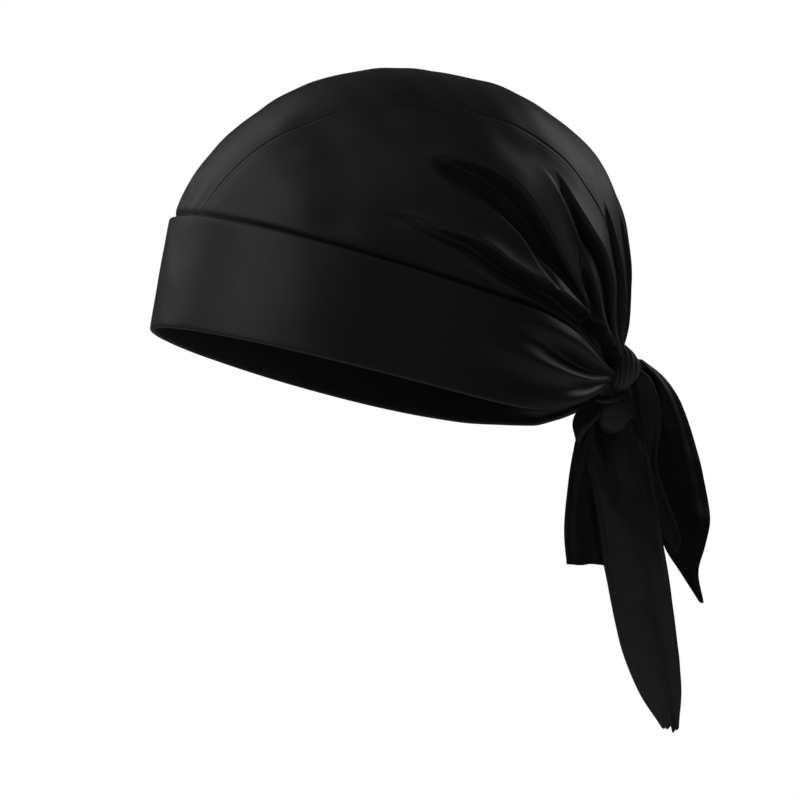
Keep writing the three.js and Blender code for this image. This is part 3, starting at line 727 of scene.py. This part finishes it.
def woundPiece(name, points, flat):  # cloth wound into a tube, its first and last columns joined
    piece = clothGrid(name, points, flat)
    deselectAll()
    piece.select_set(True)
    bpy.context.view_layer.objects.active = piece
    bpy.ops.object.mode_set(mode="EDIT")
    bpy.ops.mesh.select_all(action="SELECT")
    bpy.ops.mesh.remove_doubles(threshold=0.01 * mm)
    bpy.ops.object.mode_set(mode="OBJECT")
    giveWall(piece, clothWalls["knot"])
    return piece


points = wrapPoints(upperWrap, upperWrap["columns"], upperWrap["rows"])
piece = woundPiece("knotUpperWrap", points, upperWrap["flat"])
dress(piece, "knot_upper_wrap", paintedLightWrapSatin, upperWrap["flat"])

# The section runs from the cuff's inner neck over its rolled edge and down to the tuck under the
# knot, as shares of its half width and half height. lipBack moves the neck back under the upper
# wrap, and dip lowers the edge at the sides.
lowerWrap = {
    "middle": (1.0, 110.6, -10.6), "halfWidth": 8.4, "halfLength": 9.0, "halfHeight": 9.0, "tilt": 14,
    "dip": 1.6, "lipBack": 2.5, "flat": (54, 40), "columns": 110, "rows": 80, "section": [
        {"at": 0.0, "out": 0.66, "up": 1.9},
        {"at": 0.06, "out": 0.60, "up": 1.2},
        {"at": 0.10, "out": 0.64, "up": 0.84},
        {"at": 0.16, "out": 0.80, "up": 1.0},
        {"at": 0.24, "out": 0.97, "up": 0.93},
        {"at": 0.30, "out": 0.98, "up": 0.78},
        {"at": 0.335, "out": 0.89, "up": 0.67},
        {"at": 0.37, "out": 0.95, "up": 0.61},
        {"at": 0.48, "out": 1.01, "up": 0.36},
        {"at": 0.62, "out": 1.0, "up": 0.0},
        {"at": 0.75, "out": 0.90, "up": -0.46},
        {"at": 0.87, "out": 0.68, "up": -0.84},
        {"at": 0.95, "out": 0.45, "up": -0.97},
        {"at": 1.0, "out": 0.30, "up": -0.86},
    ],
}


def cuffPoints(wrap, columns, rows):
    turn = np.linspace(0, 2 * math.pi, columns)[None, :]
    along = np.linspace(0, 1, rows)[:, None]
    out = follow(wrap["section"], "out", along)
    up = follow(wrap["section"], "up", along)
    soft = 1 + 0.03 * np.sin(3 * turn + 3 * up) + 0.02 * np.sin(5 * turn - 4 * up)
    x = wrap["halfWidth"] * out * soft * np.cos(turn)
    y = wrap["halfLength"] * out * soft * np.sin(turn) - wrap["lipBack"] * ease(0.8, 1.9, up)
    z = wrap["halfHeight"] * up - wrap["dip"] * np.cos(turn) ** 2 * ease(-0.2, 0.9, up)
    lean = math.radians(wrap["tilt"])
    points = np.stack(np.broadcast_arrays(
        x, math.cos(lean) * y - math.sin(lean) * z, math.sin(lean) * y + math.cos(lean) * z), axis=-1)
    return points + np.array(wrap["middle"])


points = cuffPoints(lowerWrap, lowerWrap["columns"], lowerWrap["rows"])[::-1]
piece = woundPiece("knotLowerWrap", points, lowerWrap["flat"])
dress(piece, "knot_lower_wrap", paintedLightKnotSatin, lowerWrap["flat"])
print("knot made")

# The tails. at is how far down a row lies. front and back are its edges behind tailBack, and side
# how far it stands to the left, as shares of the tail's width. turn tips the front edge out to the
# left, and cup bows the middle out. A crease lies at the share across, drifts back on its way down
# and stands out by height in mm. With start 0 it fades to nothing at end, and else it grows from
# start on. ragged is how uneven the cut end is.
tailBack = 108.5
tailRipple = {"long": 0.45, "short": 0.12}
longTail = {
    "top": -6, "drop": 147, "width": 28, "rows": [
        {"at": 0, "front": -0.30, "back": 0.32, "side": 0.04, "turn": 0, "cup": 0.1},
        {"at": 0.06, "front": -0.42, "back": 0.44, "side": 0.06, "turn": -0.04, "cup": 0.12},
        {"at": 0.125, "front": -0.45, "back": 0.53, "side": 0.08, "turn": -0.08, "cup": 0.12},
        {"at": 0.30, "front": -0.25, "back": 0.67, "side": 0.14, "turn": -0.28, "cup": 0.1},
        {"at": 0.52, "front": -0.045, "back": 0.83, "side": 0.2, "turn": -0.56, "cup": 0.07},
        {"at": 0.741, "front": 0.2, "back": 0.97, "side": 0.24, "turn": -0.66, "cup": 0.06},
        {"at": 0.885, "front": 0.485, "back": 1.04, "side": 0.25, "turn": -0.52, "cup": 0.05},
        {"at": 1, "front": 0.83, "back": 1.05, "side": 0.24, "turn": -0.2, "cup": 0.02},
    ],
    "creases": [
        {"across": 0.40, "drift": 0.1, "height": -8.0, "width": 0.19, "start": 0.0, "end": 0.38},
        {"across": 0.80, "drift": 0.1, "height": 3.2, "width": 0.17, "start": 0.0, "end": 0.5},
        {"across": 0.985, "drift": 0.0, "height": 0.6, "width": 0.025, "start": 0.0, "end": 1.6},
        {"across": 0.07, "drift": 0.0, "height": -0.7, "width": 0.025, "start": 0.0, "end": 2.4},
        {"across": 0.0, "drift": 0.0, "height": -1.2, "width": 0.03, "start": 0.0, "end": 2.4},
        {"across": 0.55, "drift": 0.3, "height": -1.4, "width": 0.18, "start": 0.5, "end": 1.0},
    ],
    "ragged": 1.6,
}
wideTail = {
    "top": 14, "drop": 110, "width": 31, "rows": [
        {"at": 0, "front": 0.28, "back": 0.5, "side": -0.06, "turn": 0, "cup": 0.1},
        {"at": 0.07, "front": 0.36, "back": 0.86, "side": -0.12, "turn": 0.1, "cup": 0.14},
        {"at": 0.17, "front": 0.42, "back": 1.15, "side": -0.2, "turn": 0.26, "cup": 0.14},
        {"at": 0.32, "front": 0.5, "back": 1.38, "side": -0.28, "turn": 0.36, "cup": 0.12},
        {"at": 0.52, "front": 0.6, "back": 1.57, "side": -0.33, "turn": 0.34, "cup": 0.1},
        {"at": 0.65, "front": 0.74, "back": 1.62, "side": -0.33, "turn": 0.26, "cup": 0.08},
        {"at": 0.77, "front": 0.87, "back": 1.52, "side": -0.31, "turn": 0.18, "cup": 0.06},
        {"at": 0.875, "front": 1.12, "back": 1.41, "side": -0.29, "turn": 0.1, "cup": 0.03},
        {"at": 1, "front": 1.41, "back": 1.47, "side": -0.28, "turn": 0.02, "cup": 0},
    ],
    "creases": [
        {"across": 0.42, "drift": 0.1, "height": -2.6, "width": 0.14, "start": 0.0, "end": 0.8},
        {"across": 0.70, "drift": 0.06, "height": 0.9, "width": 0.10, "start": 0.0, "end": 0.9},
        {"across": 0.86, "drift": 0.0, "height": -0.5, "width": 0.05, "start": 0.0, "end": 1.2},
    ],
    "ragged": 0.3,
}
innerLayer = {
    "top": 10, "drop": 83, "width": 31, "rows": [
        {"at": 0, "front": 0.0, "back": 0.38, "side": 0.1, "turn": -0.05, "cup": 0.06},
        {"at": 0.06, "front": 0.0, "back": 0.56, "side": 0.09, "turn": -0.08, "cup": 0.08},
        {"at": 0.15, "front": 0.02, "back": 0.67, "side": 0.07, "turn": -0.1, "cup": 0.08},
        {"at": 0.25, "front": 0.05, "back": 0.72, "side": 0.05, "turn": -0.1, "cup": 0.08},
        {"at": 0.36, "front": 0.16, "back": 0.72, "side": 0.02, "turn": -0.06, "cup": 0.07},
        {"at": 0.52, "front": 0.30, "back": 0.68, "side": 0.0, "turn": 0, "cup": 0.05},
        {"at": 0.7, "front": 0.48, "back": 0.84, "side": -0.02, "turn": 0.04, "cup": 0.04},
        {"at": 0.92, "front": 0.82, "back": 1.06, "side": -0.04, "turn": 0.04, "cup": 0.02},
        {"at": 1, "front": 0.98, "back": 1.04, "side": -0.05, "turn": 0, "cup": 0},
    ],
    "creases": [
        {"across": 0.62, "drift": 0.0, "height": -2.4, "width": 0.14, "start": 0.0, "end": 0.7},
        {"across": 0.40, "drift": 0.0, "height": 1.4, "width": 0.12, "start": 0.0, "end": 0.5},
        {"across": 0.97, "drift": 0.0, "height": 2.2, "width": 0.08, "start": 0.0, "end": 1.2},
    ],
    "ragged": 0.2,
}
shortTail = {
    "top": -8, "drop": 71, "width": 30, "rows": [
        {"at": 0, "front": -0.4, "back": 0.2, "side": -0.08, "turn": 0.1, "cup": 0.1},
        {"at": 0.25, "front": -0.55, "back": 0.28, "side": -0.16, "turn": 0.3, "cup": 0.1},
        {"at": 0.53, "front": -0.67, "back": 0.34, "side": -0.22, "turn": 0.5, "cup": 0.07},
        {"at": 0.77, "front": -0.715, "back": 0.34, "side": -0.24, "turn": 0.5, "cup": 0.05},
        {"at": 1, "front": -0.66, "back": 0.33, "side": -0.24, "turn": 0.4, "cup": 0.04},
    ],
    "creases": [
        {"across": 0.22, "drift": -0.06, "height": 1.4, "width": 0.08, "start": 0.0, "end": 1.4},
        {"across": 0.42, "drift": 0.0, "height": -2.4, "width": 0.12, "start": 0.0, "end": 1.6},
        {"across": 0.03, "drift": 0.0, "height": 0.8, "width": 0.03, "start": 0.0, "end": 2.4},
    ],
    "ragged": 0.3,
}
tieFold = {  # the short tail starts under this fold beside the cuff
    "top": 0, "drop": 24, "width": 30, "rows": [
        {"at": 0, "front": -0.2, "back": 0.1, "side": 0.06, "turn": 0, "cup": 0.05},
        {"at": 0.25, "front": -0.40, "back": -0.08, "side": 0.09, "turn": -0.16, "cup": 0.06},
        {"at": 0.46, "front": -0.51, "back": -0.18, "side": 0.11, "turn": -0.32, "cup": 0.06},
        {"at": 0.65, "front": -0.555, "back": -0.32, "side": 0.11, "turn": -0.28, "cup": 0.05},
        {"at": 0.82, "front": -0.55, "back": -0.41, "side": 0.09, "turn": -0.12, "cup": 0.03},
        {"at": 1, "front": -0.525, "back": -0.495, "side": 0.06, "turn": 0, "cup": 0},
    ],
    "creases": [
        {"across": 0.98, "drift": 0.0, "height": -1.2, "width": 0.10, "start": 0.0, "end": 1.6},
    ],
    "ragged": 0.0,
}


def tailPoints(tail, columns, rows, seed):
    down = np.linspace(0, 1, rows)[:, None]
    across = np.linspace(0, 1, columns)[None, :]
    table = tail["rows"]
    front = follow(table, "front", down)
    back = follow(table, "back", down)
    turn = follow(table, "turn", down)
    cup = follow(table, "cup", down) * np.sin(across * math.pi)
    x = (follow(table, "side", down) + turn * (0.5 - across) + cup) * tail["width"]
    y = tailBack + mix(front, back, across) * tail["width"]
    z = tail["top"] - down * tail["drop"] + 0 * across
    for crease in tail["creases"]:
        off = (across - crease["across"] - crease["drift"] * down) / crease["width"]
        if crease["start"] == 0:
            depth = 1 - ease(0, crease["end"], down)
        else:
            depth = ease(crease["start"] * 0.6, crease["start"] * 1.4, down)
        x = x + crease["height"] * depth * np.exp(-np.abs(off) ** 1.8)
    rng = np.random.default_rng(seed)
    torn = np.interp(np.linspace(0, 1, columns), np.linspace(0, 1, 12), rng.uniform(-1, 1, 12))
    z = z - tail["ragged"] * torn[None, :] * ease(0.9, 1, down)
    points = np.stack(np.broadcast_arrays(x, y, z), axis=-1)
    ripple = tailRipple["long"] * waves(points, 38, 6, seed)
    ripple = ripple + tailRipple["short"] * waves(points, 12, 8, seed + 1)
    points[..., 0] += ripple * ease(0, 0.2, down)
    return points


tails = [
    {"name": "longTail", "node": "long_tail", "shape": longTail, "satin": tieSatin,
     "columns": 100, "rows": 190},
    {"name": "wideTail", "node": "wide_tail", "shape": wideTail, "satin": paintedShadeSatin,
     "columns": 80, "rows": 170},
    {"name": "wideTailInner", "node": "wide_tail_inner_layer", "shape": innerLayer, "satin": tieSatin,
     "columns": 60, "rows": 140},
    {"name": "shortTail", "node": "short_tail", "shape": shortTail, "satin": tieSatin,
     "columns": 80, "rows": 140},
    {"name": "tieFold", "node": None, "shape": tieFold, "satin": paintedLightKnotSatin,
     "columns": 50, "rows": 90},
]
for number, tail in enumerate(tails):
    points = tailPoints(tail["shape"], tail["columns"], tail["rows"], 20 + 5 * number)
    flat = flatSize(points)
    piece = clothGrid(tail["name"], points, flat)
    giveWall(piece, clothWalls["tails"], 0)
    dress(piece, tail["node"], tail["satin"], flat)
    print(tail["name"], "made, flat size", np.round(flat, 0), "mm")


# The floor, the light and the camera.
ground = {"drop": 0.42, "size": 4.4, "colour": (0.86, 0.86, 0.86, 1), "rough": 0.9}
deselectAll()
bpy.ops.mesh.primitive_plane_add(size=ground["size"], location=(0, 0, -ground["drop"]))
floor = bpy.context.object
floor.name = "floor"
floorPaint = bpy.data.materials.new("floorPaint")
floorPaint.use_nodes = True
paint = floorPaint.node_tree.nodes["Principled BSDF"]
paint.inputs["Base Color"].default_value = ground["colour"]
paint.inputs["Roughness"].default_value = ground["rough"]
floor.data.materials.append(floorPaint)

# The lamps stand round the cap at an azimuth in degrees from the brow, towards its left side.
# The camera sees the backdrop, and the cloth is lit and mirrored only by the dim surround.
studio = {
    "backdrop": 1.0, "surround": 0.012,
    "lamps": [
        {"name": "keyBox", "azimuth": 28, "elevation": 25, "distance": 1.5, "size": 0.8, "power": 3.0},
        {"name": "frontBox", "azimuth": -32, "elevation": 38, "distance": 1.5, "size": 1.3, "power": 4.4},
        {"name": "topBox", "azimuth": 80, "elevation": 54, "distance": 1.5, "size": 0.9, "power": 0.9},
        {"name": "backBox", "azimuth": 202, "elevation": 34, "distance": 1.5, "size": 0.8, "power": 2.5},
        {"name": "fillBox", "azimuth": 112, "elevation": 14, "distance": 1.5, "size": 0.9, "power": 0.38},
    ],
}
bpy.context.scene.view_settings.view_transform = "Standard"
world = bpy.data.worlds.new("studioWorld")
bpy.context.scene.world = world
world.use_nodes = True
nodes, links = world.node_tree.nodes, world.node_tree.links
nodes.clear()
worldOut = nodes.new("ShaderNodeOutputWorld")
shown = nodes.new("ShaderNodeBackground")
shown.inputs["Color"].default_value = (1, 1, 1, 1)
shown.inputs["Strength"].default_value = studio["backdrop"]
soft = nodes.new("ShaderNodeBackground")
soft.inputs["Color"].default_value = (1, 1, 1, 1)
soft.inputs["Strength"].default_value = studio["surround"]
path = nodes.new("ShaderNodeLightPath")
either = nodes.new("ShaderNodeMixShader")
links.new(path.outputs["Is Camera Ray"], either.inputs["Fac"])
links.new(soft.outputs[0], either.inputs[1])
links.new(shown.outputs[0], either.inputs[2])
links.new(either.outputs[0], worldOut.inputs["Surface"])


def directionOf(place):  # from the middle of the cap towards a lamp or the camera
    azimuth, elevation = math.radians(place["azimuth"]), math.radians(place["elevation"])
    return Vector((
        math.sin(azimuth) * math.cos(elevation),
        -math.cos(azimuth) * math.cos(elevation),
        math.sin(elevation),
    ))


for lamp in studio["lamps"]:
    side = directionOf(lamp)
    bpy.ops.object.light_add(type="AREA", location=side * lamp["distance"])
    light = bpy.context.object
    light.name = lamp["name"]
    light.data.size = lamp["size"]
    light.data.energy = lamp["power"]
    light.rotation_euler = side.to_track_quat("Z", "Y").to_euler()

# The camera fitted to the photo. It looks at a place this far right of and above the origin.
viewer = {"azimuth": 80, "elevation": -3.5, "distance": 1.55, "lens": 155.75, "right": 11.87, "up": -5.6}
towards = directionOf(viewer)
right = (-towards).cross(Vector((0, 0, 1))).normalized()
above = right.cross(-towards)
target = right * viewer["right"] * mm + above * viewer["up"] * mm
bpy.ops.object.camera_add(location=target + towards * viewer["distance"])
camera = bpy.context.object
camera.data.lens = viewer["lens"]
camera.data.sensor_width = 36
camera.rotation_euler = (-towards).to_track_quat("-Z", "Y").to_euler()
bpy.context.scene.camera = camera
print("light and camera made")
